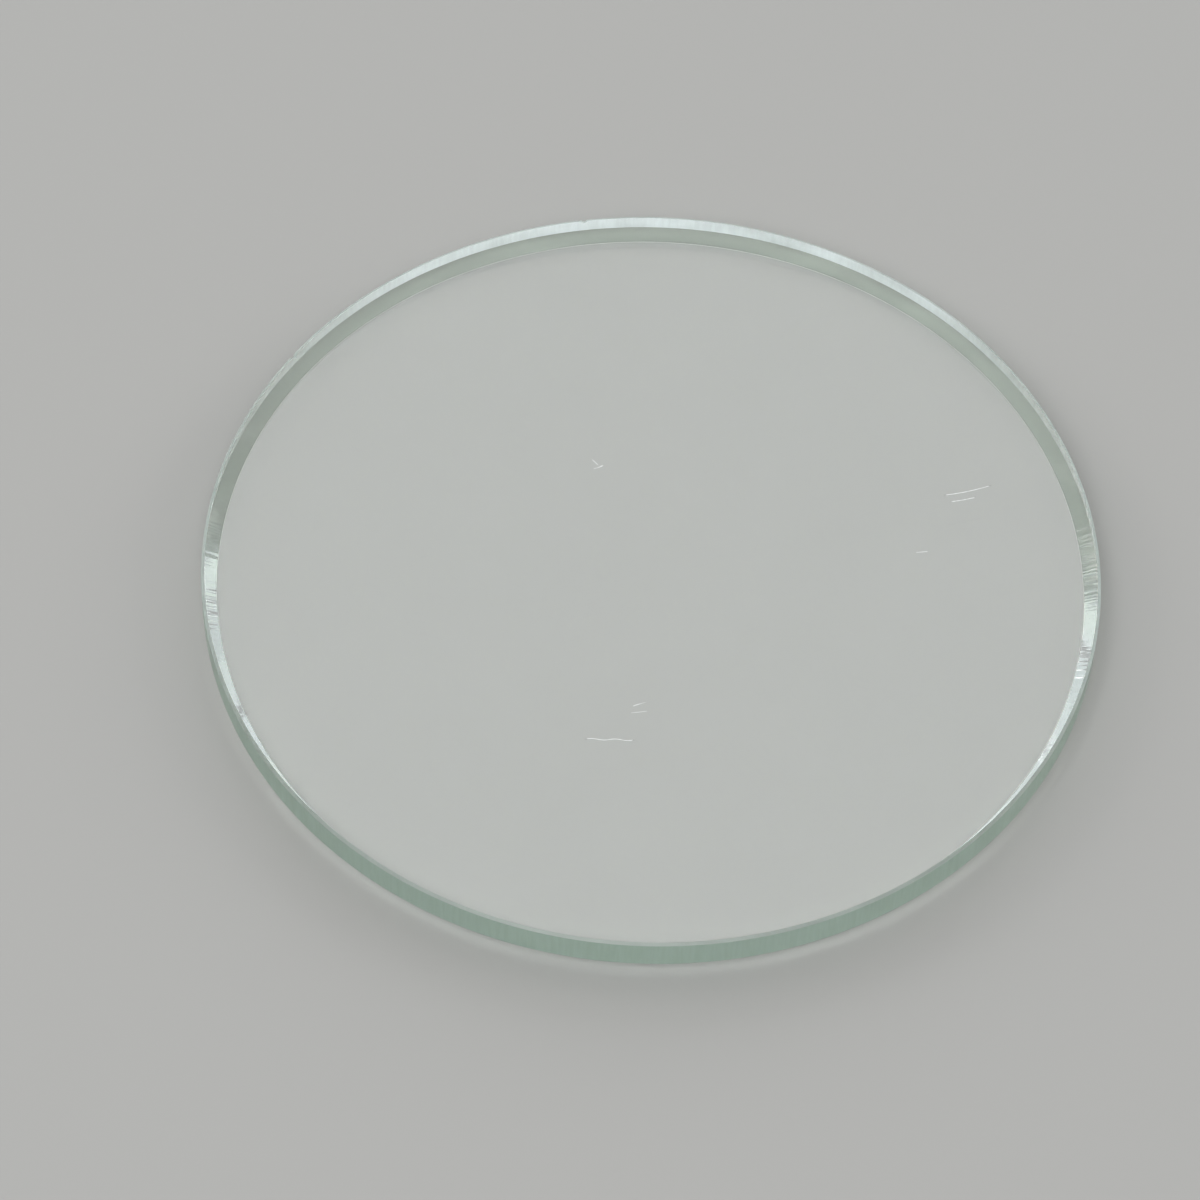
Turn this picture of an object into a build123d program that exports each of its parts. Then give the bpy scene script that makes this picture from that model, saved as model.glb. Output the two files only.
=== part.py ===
from build123d import *
import os

# A flat round watch crystal: one disc of mineral glass with polished faces and a ground edge.
# It lies on its inner face, the side with the bevel. The origin is the centre of that face, +Z up.

# The disc, in millimetres
diameter = 30.0
thickness = 1.5

# The bevel round the inner face, which leads the crystal into its gasket
inner_bevel_width = 0.48
inner_bevel_height = 0.38

# The small arris that takes the sharpness off the outer face's rim
outer_arris_width = 0.10
outer_arris_height = 0.07


def half_section():
    """The disc's section on one side of its axis, from the inner face round to the outer face."""
    radius = diameter / 2
    inner_face_rim = (radius - inner_bevel_width, 0)
    edge_bottom = (radius, inner_bevel_height)
    edge_top = (radius, thickness - outer_arris_height)
    outer_face_rim = (radius - outer_arris_width, thickness)
    outline = Polyline((0, 0), inner_face_rim, edge_bottom, edge_top, outer_face_rim, (0, thickness), close=True)
    return Plane.XZ * make_face(outline)


def crystal():
    """The whole disc, the half section turned once round its axis."""
    return revolve(half_section(), Axis.Z)


def write_parts():
    os.makedirs("parts", exist_ok=True)
    glass_crystal = crystal()
    glass_crystal.label = "glass_crystal"
    export_step(glass_crystal, "parts/glass_crystal.step")


write_parts()
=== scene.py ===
import math
import random

import bpy
from mathutils import Matrix, Vector


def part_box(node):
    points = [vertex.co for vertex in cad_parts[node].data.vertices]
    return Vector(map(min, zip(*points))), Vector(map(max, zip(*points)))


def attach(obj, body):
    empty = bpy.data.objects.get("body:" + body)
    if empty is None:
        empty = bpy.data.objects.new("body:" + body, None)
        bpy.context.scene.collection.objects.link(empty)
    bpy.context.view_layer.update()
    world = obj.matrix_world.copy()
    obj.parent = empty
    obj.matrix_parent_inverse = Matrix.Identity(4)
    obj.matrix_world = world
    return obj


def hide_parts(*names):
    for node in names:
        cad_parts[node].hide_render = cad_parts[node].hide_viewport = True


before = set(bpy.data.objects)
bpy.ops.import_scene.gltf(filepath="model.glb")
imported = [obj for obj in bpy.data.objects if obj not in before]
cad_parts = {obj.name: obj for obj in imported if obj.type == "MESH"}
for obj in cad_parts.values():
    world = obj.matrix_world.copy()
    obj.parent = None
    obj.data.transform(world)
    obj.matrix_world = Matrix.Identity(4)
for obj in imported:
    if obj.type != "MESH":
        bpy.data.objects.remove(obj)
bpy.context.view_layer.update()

MM = 0.001
NODE = "glass_crystal"

# The camera, fitted to the outline and the refracted bands of the photographed disc
FOCAL_PX = 5397             # focal length, in pixels of a picture 1200 wide
PICTURE_PX = 1200
SENSOR_MM = 36
ELEVATION = math.radians(53.97)
ROLL = math.radians(2.14)
DISTANCE_IN_RADII = 12.0
AIM_IN_RADII = (-0.110, -0.1085)
CLIP_RANGE = (0.01, 10)     # in metres

# The mesh
SEGMENTS = 3072             # round the rim
WALL_ROWS = 12
BEVEL_ROWS = 6
ARRIS_ROWS = 4
FEWEST_SPOKES = 6           # round the centre of a polished face
EDGE_STRIP = 0.02 * MM      # blunted line where the bevel meets the inner face

# The chips in the outer rim: bearing in degrees, then half length, depth and height in millimetres
CHIPS = (
    (101.4, 0.10, 0.080, 0.18),
    (102.1, 0.06, 0.050, 0.12),
    (147.6, 0.13, 0.080, 0.20),
    (63.0, 0.05, 0.020, 0.06),
    (312.0, 0.07, 0.020, 0.07),
)
FINE_CHIPS = 40
FINE_CHIP_SIZE = 0.04       # largest half length of a fine chip
FINE_CHIP_LEAST_SHARE = 0.4             # of the largest one
FINE_CHIP_DEPTH_SHARES = (0.1, 0.3)     # of the chip's half length
CHIP_SEED = 11

# The chatter lines across the bevel, which the grinding wheel left
CHATTER_DEPTH = 0.0012 * MM
CHATTER_BASE = 0.3          # its strength away from the patches
CHATTER_LEVEL = 3           # mean depth, in spreads of the fine lines, so that hardly any is cut off
FINE_REACH = 1              # segments that a fine line blends with on each side
COARSE_REACH = 3
COARSE_SHARE = 0.6          # of the coarse lines, next to the fine ones
# Patches of strong chatter: bearing and half width in degrees, strength
CHATTER_PATCHES = (
    (6.0, 5.0, 1.8),
    (-12.5, 2.5, 0.5),
    (176.5, 1.5, 0.8),
    (188.5, 4.0, 1.4),
)
CHATTER_SEED = 5

# The marks in the outer face: centre x and y, half length and half width in millimetres, angle in degrees,
# then bend and waves as shares of the half length
MARKS = (
    (10.53, 3.64, 0.88, 0.036, 18, 0.06, 0.0),
    (10.37, 3.27, 0.46, 0.032, 16, 0.04, 0.0),
    (9.00, 1.01, 0.23, 0.030, 9, 0.0, 0.0),
    (-1.08, -7.19, 0.86, 0.034, 2, 0.0, 0.03),
    (-0.17, -5.73, 0.26, 0.026, 24, 0.0, 0.0),
    (-0.17, -6.05, 0.30, 0.020, 11, 0.0, 0.0),
    (-1.95, 3.87, 0.22, 0.036, 28, 0.2, 0.0),
    (-2.08, 4.08, 0.16, 0.028, -45, 0.0, 0.0),
)
MARK_STRENGTH = 0.6
MARK_ROUGHNESS = 0.6
MARK_RIPPLE = 7             # radians of its waves from a mark's middle to its end
MARK_TAPER_SHARE = 0.8      # of its half length, where a mark starts to fade
MARK_PATCHES = (0.15 * MM, 0.55, 1.0)

# The glass. A random pattern is given by the size of its spots and its least and largest value
REFRACTIVE_INDEX = 1.52
NOISE_RANGE = (0.25, 0.75)  # what a noise texture mostly stays between
POLISHED_COLOUR = (0.98, 1.0, 0.99)

# The ground edge. Its haze is the share of it that scatters light right through
GROUND_COLOUR = (0.185, 0.265, 0.19)
GROUND_TRANSMISSION = 0.9
GROUND_ROUGHNESS = (1.2 * MM, 0.29, 0.36)
GRAIN = (0.04 * MM, 0, 1)
GRAIN_DETAIL = 3
GRAIN_DEPTH = 0.002 * MM
GRAIN_STRENGTH = 0.6
HAZE_COLOUR = (0.84, 0.92, 0.93)
# The haze grows from the front of the edge to the back: painted light that makes the back lighter, standing
# in for the light from behind.
LEAST_HAZE = 0.06           # at the front
MOST_HAZE = 0.80            # at the back
HAZE_SHARES = (0.5, 0.85)   # of the radius, behind the centre, between which the haze grows
HAZE_BLOTCHES = (2.5 * MM, 0.8, 1.2)
HAZE_STREAKS = (0.12 * MM, -0.04, 0.04)
STREAK_SQUEEZE = 0.08       # of the pattern's scale along the disc's axis, which makes the streaks upright

# The bevel
BEVEL_COLOUR = (0.68, 0.78, 0.70)
BEVEL_ROUGHNESS = (0.6 * MM, 0.03, 0.06)

# The arris, which is paler at the back than at the front: painted light in its colour, transmission and
# haze, which makes the back lighter
ARRIS_COLOUR = (0.38, 0.45, 0.40)
PAINTED_LIGHT_ARRIS_COLOUR = (0.72, 0.78, 0.75)
ARRIS_ROUGHNESS = (0.2 * MM, 0.3, 0.5)
PAINTED_LIGHT_SHARES = (-0.6, 0.4)   # of the radius, behind the centre, between which it turns pale
ARRIS_TRANSMISSION = (0.9, 0.5)         # at the front and at the back
ARRIS_HAZE = (0.05, 0.4)                # the same
ARRIS_BLOTCHES = (0.5 * MM, 0.7, 1.3)

# The blunted line
BLUNTED_COLOUR = (0.88, 0.90, 0.86)
BLUNTED_ROUGHNESS = 0.5
BLUNTED_TRANSMISSION = (0.8 * MM, 0.4, 0.9)

# Sockets of the mix node, given by number because other sockets of it share their names
FIRST_COLOUR, SECOND_COLOUR, MIXED_COLOUR = 6, 7, 2

# The studio
AIR_GAP = 0.01 * MM         # air film under the lower face
FLOOR_SIZE = 3.0
FLOOR_COLOUR = (0.48, 0.48, 0.47)
FLOOR_ROUGHNESS = 0.9
FLOOR_SPECULAR = 0.1
SKY_STRENGTH = 0.3
HORIZON_STRENGTH = 0.4
HORIZON_DEGREES = (6, 20)   # elevations between which the horizon's light turns into the sky's
LAMP_DISTANCE = 0.6
MIRRORED_LAMP = "mirrored_softbox"      # the only lamp that the outer surfaces mirror directly
# Name, bearing anticlockwise from +X and elevation in degrees, width and height in metres, radiance, colour
LAMPS = (
    ("left_softbox", 158, 25, 0.44, 0.24, 1.8, (1.0, 0.98, 0.93)),
    ("right_softbox", 18, 25, 0.40, 0.24, 1.6, (1.0, 0.99, 0.95)),
    ("back_softbox", 90, 20, 0.60, 0.42, 1.7, (0.92, 0.97, 1.0)),
    ("back_left_softbox", 134, 10, 0.16, 0.12, 3.4, (1.0, 0.96, 0.87)),
    ("back_right_softbox", 43, 10, 0.16, 0.12, 3.4, (1.0, 0.96, 0.87)),
    ("mirrored_softbox", 90, 54, 0.24, 0.20, 1.0, (1.0, 1.0, 0.98)),
    ("front_softbox", 255, 58, 0.45, 0.36, 3.6, (1.0, 1.0, 1.0)),
)


def node_profile():
    """The corners of the CAD disc's half section, as (radius, height) from the lower face up."""
    corners = {}
    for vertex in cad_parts[NODE].data.vertices:
        height = round(vertex.co.z, 6)      # to a micrometre
        corners[height] = max(corners.get(height, 0), math.hypot(vertex.co.x, vertex.co.y))
    _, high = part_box(NODE)
    spare = max(corners.values()) - min(high.x, high.y)     # keeps the rim inside the CAD's box
    return [(corners[height] - spare, height) for height in sorted(corners)]


def all_chips():
    """The chips seen in the photograph and the fine ones all round, in metres."""
    chips = []
    for bearing, half_length, depth, height in CHIPS:
        chips.append((math.radians(bearing), half_length * MM, depth * MM, height * MM))
    dice = random.Random(CHIP_SEED)
    for _ in range(FINE_CHIPS):
        size = FINE_CHIP_SIZE * MM * dice.uniform(FINE_CHIP_LEAST_SHARE, 1)
        bearing = dice.uniform(-math.pi, math.pi)
        chips.append((bearing, size, size * dice.uniform(*FINE_CHIP_DEPTH_SHARES), size))
    return chips


def chipped_away(chips, angle, radius, drop):
    """How far the surface lies inside its own radius, at an angle and a drop below the outer face."""
    depth = 0
    for centre, half_length, deepest, height in chips:
        along = math.remainder(angle - centre, math.tau) * radius / half_length
        if abs(along) < 1:
            depth = max(depth, deepest * (1 - along ** 2 - (drop / height) ** 2))
    return depth


def smoothed(values, reach):
    """Blends each value with its neighbours as far as the reach, and keeps the spread of the values."""
    weights = [(step, reach + 1 - abs(step)) for step in range(-reach, reach + 1)]
    scale = math.sqrt(sum(weight ** 2 for _, weight in weights))
    return [
        sum(weight * values[(i + step) % len(values)] for step, weight in weights) / scale
        for i in range(len(values))
    ]


def chatter():
    """How far each segment's line across the bevel lies inside the true cone."""
    dice = random.Random(CHATTER_SEED)
    fine = smoothed([dice.gauss(0, 1) for _ in range(SEGMENTS)], FINE_REACH)
    coarse = smoothed([dice.gauss(0, 1) for _ in range(SEGMENTS)], COARSE_REACH)
    depths = []
    for i in range(SEGMENTS):
        strength = CHATTER_BASE
        for bearing, half_width, extra in CHATTER_PATCHES:
            off = math.remainder(360 * i / SEGMENTS - bearing, 360) / half_width
            strength += extra * math.exp(-(off ** 2))
        depth = max(fine[i] + COARSE_SHARE * coarse[i] + CHATTER_LEVEL, 0)
        depths.append(CHATTER_DEPTH * strength * depth)
    return depths


class MeshMaker:
    """Collects points and faces, with a material number for each face."""

    def __init__(self):
        self.points = []
        self.faces = []
        self.materials = []

    def add_ring(self, radius, height, count, insets=None):
        first = len(self.points)
        for i in range(count):
            angle = math.tau * i / count
            r = radius - insets[i] if insets else radius
            self.points.append((r * math.cos(angle), r * math.sin(angle), height))
        return list(range(first, first + count))

    def add_point(self, point):
        self.points.append(point)
        return len(self.points) - 1

    def face(self, corners, material, flip):
        self.faces.append(corners[::-1] if flip else corners)
        self.materials.append(material)

    def band(self, lower, upper, material):
        count = len(lower)
        for i in range(count):
            j = (i + 1) % count
            self.face([lower[i], lower[j], upper[j], upper[i]], material, False)

    def halving_band(self, outer, inner, material, flip):
        """Joins a ring to one with half as many points, inside it on the same face."""
        count = len(outer)
        for i in range(len(inner)):
            a, b, c = outer[2 * i], outer[2 * i + 1], outer[(2 * i + 2) % count]
            p, q = inner[i], inner[(i + 1) % len(inner)]
            self.face([a, b, p], material, flip)
            self.face([b, q, p], material, flip)
            self.face([b, c, q], material, flip)

    def flat_face(self, rim, radius, height, material, flip):
        """Fills a polished face from its rim to its centre with rings that halve their points."""
        current = rim
        count = len(rim)
        while count % 2 == 0 and count > FEWEST_SPOKES:
            count //= 2
            share = count / len(rim)
            inner = self.add_ring(radius * share ** 0.5, height, count)
            self.halving_band(current, inner, material, flip)
            current = inner
        centre = self.add_point((0, 0, height))
        for i in range(len(current)):
            self.face([current[i], current[(i + 1) % len(current)], centre], material, flip)


# The crystal's materials, in the order in which they are given to it at the end
LOWER_FACE, UPPER_FACE, GROUND, BEVEL, ARRIS, BLUNTED = range(6)


def build_crystal():
    """The whole disc as one closed mesh: lower face, bevel, wall, arris and upper face."""
    (r0, z0), (r1, z1), (r2, z2), (r3, z3) = node_profile()
    chips = all_chips()
    lines = chatter()
    maker = MeshMaker()
    strip = maker.add_ring(r0 - EDGE_STRIP, z0, SEGMENTS)
    maker.flat_face(strip, r0 - EDGE_STRIP, z0, LOWER_FACE, True)
    current = maker.add_ring(r0, z0, SEGMENTS, lines)
    maker.band(strip, current, BLUNTED)
    for (ra, za), (rb, zb), rows, material in (
        ((r0, z0), (r1, z1), BEVEL_ROWS, BEVEL),
        ((r1, z1), (r2, z2), WALL_ROWS, GROUND),
        ((r2, z2), (r3, z3), ARRIS_ROWS, ARRIS),
    ):
        for row in range(1, rows + 1):
            # The wall's rows crowd together towards its chipped top
            share = 1 - (1 - row / rows) ** 2 if material == GROUND else row / rows
            height = za + (zb - za) * share
            drop = z3 - height
            insets = lines if material == BEVEL else [
                chipped_away(chips, math.tau * i / SEGMENTS, r2, drop) for i in range(SEGMENTS)
            ]
            upper = maker.add_ring(ra + (rb - ra) * share, height, SEGMENTS, insets)
            maker.band(current, upper, material)
            current = upper
    maker.flat_face(current, r3, z3, UPPER_FACE, False)
    mesh = bpy.data.meshes.new("crystal")
    mesh.from_pydata(maker.points, [], maker.faces)
    mesh.polygons.foreach_set("material_index", maker.materials)
    mesh.polygons.foreach_set("use_smooth", [True] * len(maker.faces))
    mark_sharp(mesh)
    mesh.update()
    piece = bpy.data.objects.new("crystal", mesh)
    bpy.context.scene.collection.objects.link(piece)
    return piece


def mark_sharp(mesh):
    """Makes sharp the edges where two of the disc's surfaces meet."""
    sides = {}
    for polygon in mesh.polygons:
        for key in polygon.edge_keys:
            sides.setdefault(key, set()).add(polygon.material_index)
    flags = [len(sides[tuple(sorted(edge.vertices))]) > 1 for edge in mesh.edges]
    mesh.edges.foreach_set("use_edge_sharp", flags)


def add(tree, kind, values, **settings):
    """Adds a node, with each input given as a value or as the socket that feeds it."""
    node = tree.nodes.new(kind)
    for name, value in settings.items():
        setattr(node, name, value)
    for name, value in values.items():
        if isinstance(value, bpy.types.NodeSocket):
            tree.links.new(value, node.inputs[name])
        else:
            node.inputs[name].default_value = value
    return node


def maths(tree, operation, a, b=0.0):
    return add(tree, "ShaderNodeMath", {0: a, 1: b}, operation=operation).outputs[0]


def spread(tree, value, low, high, to_low, to_high):
    """Carries a value smoothly from one range to another, and stops at its ends."""
    values = {"Value": value, "From Min": low, "From Max": high, "To Min": to_low, "To Max": to_high}
    return add(tree, "ShaderNodeMapRange", values, interpolation_type="SMOOTHSTEP").outputs["Result"]


def noise(tree, vector, pattern, detail=2.0):
    """A soft random pattern, from the size of its spots and its least and largest value."""
    size, low, high = pattern
    texture = add(tree, "ShaderNodeTexNoise", {"Vector": vector, "Scale": 1 / size, "Detail": detail})
    return spread(tree, texture.outputs[0], *NOISE_RANGE, low, high)


def glass_material(name, roughness, transmission, colour):
    """Plain glass, whose roughness, transmission or colour a pattern may replace later."""
    material = bpy.data.materials.new(name)
    material.use_nodes = True
    shader = material.node_tree.nodes["Principled BSDF"]
    shader.inputs["Base Color"].default_value = (*colour, 1)
    shader.inputs["Roughness"].default_value = roughness
    shader.inputs["IOR"].default_value = REFRACTIVE_INDEX
    shader.inputs["Transmission Weight"].default_value = transmission
    return material


def object_place(tree):
    return tree.nodes.new("ShaderNodeTexCoord").outputs["Object"]


def mark_mask(tree, place, mark):
    """A mask that is 1 along the middle of one hairline mark and 0 off it."""
    x, y, half_length, half_width, angle, bend, waves = mark
    values = {
        "Vector": place,
        "Location": (x * MM, y * MM, 0),
        "Rotation": (0, 0, math.radians(angle)),
        "Scale": (half_length * MM, half_length * MM, 1),
    }
    local = add(tree, "ShaderNodeMapping", values, vector_type="TEXTURE")
    split = add(tree, "ShaderNodeSeparateXYZ", {"Vector": local.outputs["Vector"]})
    along = split.outputs["X"]
    curve = maths(tree, "MULTIPLY", maths(tree, "MULTIPLY", along, along), bend)
    phase = maths(tree, "MULTIPLY", along, MARK_RIPPLE)
    ripple = maths(tree, "MULTIPLY", maths(tree, "SINE", phase), waves)
    middle = maths(tree, "ADD", curve, ripple)
    across = maths(tree, "ABSOLUTE", maths(tree, "SUBTRACT", split.outputs["Y"], middle))
    line = spread(tree, across, 0, half_width / half_length, 1, 0)
    ends = spread(tree, maths(tree, "ABSOLUTE", along), MARK_TAPER_SHARE, 1, 1, 0)
    return maths(tree, "MULTIPLY", line, ends)


def marked_glass():
    """The polished outer face with its hairline marks, whose broken glass is white."""
    material = glass_material("marked_glass", 0.0, 1.0, POLISHED_COLOUR)
    tree = material.node_tree
    place = object_place(tree)
    masks = [mark_mask(tree, place, mark) for mark in MARKS]
    total = masks[0]
    for mask in masks[1:]:
        total = maths(tree, "MAXIMUM", total, mask)
    total = maths(tree, "MULTIPLY", total, noise(tree, place, MARK_PATCHES))
    shader = tree.nodes["Principled BSDF"]
    tree.links.new(maths(tree, "MULTIPLY", total, MARK_ROUGHNESS), shader.inputs["Roughness"])
    share = maths(tree, "MULTIPLY", total, -MARK_STRENGTH)
    tree.links.new(maths(tree, "ADD", share, 1.0), shader.inputs["Transmission Weight"])
    return material


def backwards(tree, place, low, high, to_low, to_high):
    """A value that changes from the front of the disc to the back, between two places on its Y axis."""
    split = add(tree, "ShaderNodeSeparateXYZ", {"Vector": place})
    return spread(tree, split.outputs["Y"], low, high, to_low, to_high)


def add_haze(material, colour, share):
    """Mixes in a share of light that scatters straight through the surface."""
    tree = material.node_tree
    through = add(tree, "ShaderNodeBsdfTranslucent", {"Color": (*colour, 1)})
    values = {"Fac": share, 1: tree.nodes["Principled BSDF"].outputs["BSDF"], 2: through.outputs["BSDF"]}
    mix = add(tree, "ShaderNodeMixShader", values)
    tree.links.new(mix.outputs["Shader"], tree.nodes["Material Output"].inputs["Surface"])


def ground_glass(radius):
    """The finely ground edge: a satin grain with soft blotches, with a haze that grows towards the back as
    painted light, so that the back shows lighter than the front.
    """
    material = glass_material("ground_glass", GROUND_ROUGHNESS[-1], GROUND_TRANSMISSION, GROUND_COLOUR)
    tree = material.node_tree
    shader = tree.nodes["Principled BSDF"]
    place = object_place(tree)
    tree.links.new(noise(tree, place, GROUND_ROUGHNESS), shader.inputs["Roughness"])
    grain = noise(tree, place, GRAIN, detail=GRAIN_DETAIL)
    values = {"Strength": GRAIN_STRENGTH, "Distance": GRAIN_DEPTH, "Height": grain}
    bump = add(tree, "ShaderNodeBump", values)
    tree.links.new(bump.outputs["Normal"], shader.inputs["Normal"])
    # Painted light: the haze grows towards the back so that the back of the edge shows lighter than the
    # front.
    start, end = (share * radius for share in HAZE_SHARES)
    painted_back_haze = backwards(tree, place, start, end, LEAST_HAZE, MOST_HAZE)
    blotches = noise(tree, place, HAZE_BLOTCHES)
    upright = add(tree, "ShaderNodeMapping", {"Vector": place, "Scale": (1, 1, STREAK_SQUEEZE)})
    streaks = noise(tree, upright.outputs["Vector"], HAZE_STREAKS)
    add_haze(material, HAZE_COLOUR, maths(tree, "ADD", maths(tree, "MULTIPLY", painted_back_haze, blotches), streaks))
    return material


def bevel_glass():
    """The semi-polished bevel, slightly uneven."""
    material = glass_material("semi_polished_glass", BEVEL_ROUGHNESS[-1], 1.0, BEVEL_COLOUR)
    tree = material.node_tree
    shader = tree.nodes["Principled BSDF"]
    tree.links.new(noise(tree, object_place(tree), BEVEL_ROUGHNESS), shader.inputs["Roughness"])
    return material


def arris_glass(radius):
    """The arris, ground a little coarser than the edge, with painted light that makes it paler, less clear
    and hazier towards the back.
    """
    material = glass_material("arris_glass", ARRIS_ROUGHNESS[-1], ARRIS_TRANSMISSION[0], ARRIS_COLOUR)
    tree = material.node_tree
    shader = tree.nodes["Principled BSDF"]
    place = object_place(tree)
    tree.links.new(noise(tree, place, ARRIS_ROUGHNESS), shader.inputs["Roughness"])
    # Painted light: towards the back the arris turns paler, less clear and hazier, so that the back shows
    # lighter.
    start, end = (share * radius for share in PAINTED_LIGHT_SHARES)
    painted_back_light = backwards(tree, place, start, end, 0, 1)
    values = {"Factor": painted_back_light, FIRST_COLOUR: (*ARRIS_COLOUR, 1), SECOND_COLOUR: (*PAINTED_LIGHT_ARRIS_COLOUR, 1)}
    tint = add(tree, "ShaderNodeMix", values, data_type="RGBA")
    tree.links.new(tint.outputs[MIXED_COLOUR], shader.inputs["Base Color"])
    tree.links.new(spread(tree, painted_back_light, 0, 1, *ARRIS_TRANSMISSION), shader.inputs["Transmission Weight"])
    painted_back_haze = spread(tree, painted_back_light, 0, 1, *ARRIS_HAZE)
    add_haze(material, HAZE_COLOUR, maths(tree, "MULTIPLY", painted_back_haze, noise(tree, place, ARRIS_BLOTCHES)))
    return material


def blunted_glass():
    """The blunted line where the bevel meets the inner face: broken glass, nearly white."""
    material = glass_material("blunted_glass", BLUNTED_ROUGHNESS, BLUNTED_TRANSMISSION[1], BLUNTED_COLOUR)
    tree = material.node_tree
    shader = tree.nodes["Principled BSDF"]
    share = noise(tree, object_place(tree), BLUNTED_TRANSMISSION)
    tree.links.new(share, shader.inputs["Transmission Weight"])
    return material


def floor_material():
    """The floor's plain colour from above, and nothing from below, so that the underside can be seen."""
    material = bpy.data.materials.new("floor")
    material.use_nodes = True
    tree = material.node_tree
    shader = tree.nodes["Principled BSDF"]
    shader.inputs["Base Color"].default_value = (*FLOOR_COLOUR, 1)
    shader.inputs["Roughness"].default_value = FLOOR_ROUGHNESS
    shader.inputs["Specular IOR Level"].default_value = FLOOR_SPECULAR
    below = tree.nodes.new("ShaderNodeNewGeometry").outputs["Backfacing"]
    clear = tree.nodes.new("ShaderNodeBsdfTransparent").outputs["BSDF"]
    mix = add(tree, "ShaderNodeMixShader", {"Fac": below, 1: shader.outputs["BSDF"], 2: clear})
    tree.links.new(mix.outputs["Shader"], tree.nodes["Material Output"].inputs["Surface"])
    return material


def build_floor():
    half = FLOOR_SIZE / 2
    mesh = bpy.data.meshes.new("floor")
    corners = [(x * half, y * half, -AIR_GAP) for x, y in ((-1, -1), (1, -1), (1, 1), (-1, 1))]
    mesh.from_pydata(corners, [], [(0, 1, 2, 3)])
    mesh.materials.append(floor_material())
    floor = bpy.data.objects.new("floor", mesh)
    bpy.context.scene.collection.objects.link(floor)


def area_light(name, bearing, elevation, width, height, radiance, colour):
    """A softbox at the lamps' distance from the disc, turned towards it."""
    lamp = bpy.data.lights.new(name, "AREA")
    lamp.shape = "RECTANGLE"
    lamp.size = width
    lamp.size_y = height
    lamp.energy = radiance * math.pi * width * height
    lamp.color = colour
    across = LAMP_DISTANCE * math.cos(math.radians(elevation))
    place = Vector((
        across * math.cos(math.radians(bearing)),
        across * math.sin(math.radians(bearing)),
        LAMP_DISTANCE * math.sin(math.radians(elevation)),
    ))
    holder = bpy.data.objects.new(name, lamp)
    holder.location = place
    holder.rotation_euler = (-place).to_track_quat("-Z", "Y").to_euler()
    holder.visible_camera = False
    holder.visible_glossy = name == MIRRORED_LAMP
    bpy.context.scene.collection.objects.link(holder)


def build_sky():
    """An even white sky, a little brighter near the horizon."""
    world = bpy.data.worlds.new("studio")
    bpy.context.scene.world = world
    world.use_nodes = True
    tree = world.node_tree
    place = tree.nodes.new("ShaderNodeTexCoord").outputs["Generated"]
    split = add(tree, "ShaderNodeSeparateXYZ", {"Vector": place})
    low, high = (math.sin(math.radians(elevation)) for elevation in HORIZON_DEGREES)
    strength = spread(tree, split.outputs["Z"], low, high, HORIZON_STRENGTH, SKY_STRENGTH)
    tree.links.new(strength, tree.nodes["Background"].inputs["Strength"])
    tree.nodes["Background"].inputs["Color"].default_value = (1, 1, 1, 1)


def build_camera(radius, top):
    """The photograph's viewpoint, in front of the disc and above it, with the camera rolled a little."""
    distance = DISTANCE_IN_RADII * radius
    place = Vector((0, -distance * math.cos(ELEVATION), distance * math.sin(ELEVATION) + top))
    target = Vector((AIM_IN_RADII[0] * radius, AIM_IN_RADII[1] * radius, top))
    forward = (target - place).normalized()
    right = forward.cross(Vector((0, 0, 1))).normalized()
    up = right.cross(forward)
    rolled_right = math.cos(ROLL) * right + math.sin(ROLL) * up
    rolled_up = math.cos(ROLL) * up - math.sin(ROLL) * right
    data = bpy.data.cameras.new("camera")
    data.sensor_width = SENSOR_MM
    data.lens = SENSOR_MM * FOCAL_PX / PICTURE_PX
    data.clip_start, data.clip_end = CLIP_RANGE
    camera = bpy.data.objects.new("camera", data)
    turn = Matrix((rolled_right, rolled_up, -forward)).transposed()
    camera.matrix_world = Matrix.Translation(place) @ turn.to_4x4()
    bpy.context.scene.collection.objects.link(camera)
    bpy.context.scene.camera = camera


def render_settings():
    scene = bpy.context.scene
    scene.view_settings.view_transform = "Standard"
    scene.cycles.max_bounces = 32
    scene.cycles.transmission_bounces = 32
    scene.cycles.glossy_bounces = 24
    scene.cycles.diffuse_bounces = 6
    scene.cycles.blur_glossy = 0
    scene.cycles.sample_clamp_indirect = 0


_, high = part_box(NODE)
crystal = build_crystal()
for material in (
    glass_material("polished_glass", 0.0, 1.0, POLISHED_COLOUR),
    marked_glass(),
    ground_glass(high.x),
    bevel_glass(),
    arris_glass(high.x),
    blunted_glass(),
):
    crystal.data.materials.append(material)
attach(crystal, "root")
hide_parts(NODE)
build_floor()
for lamp in LAMPS:
    area_light(*lamp)
build_sky()
build_camera(high.x, high.z)
render_settings()
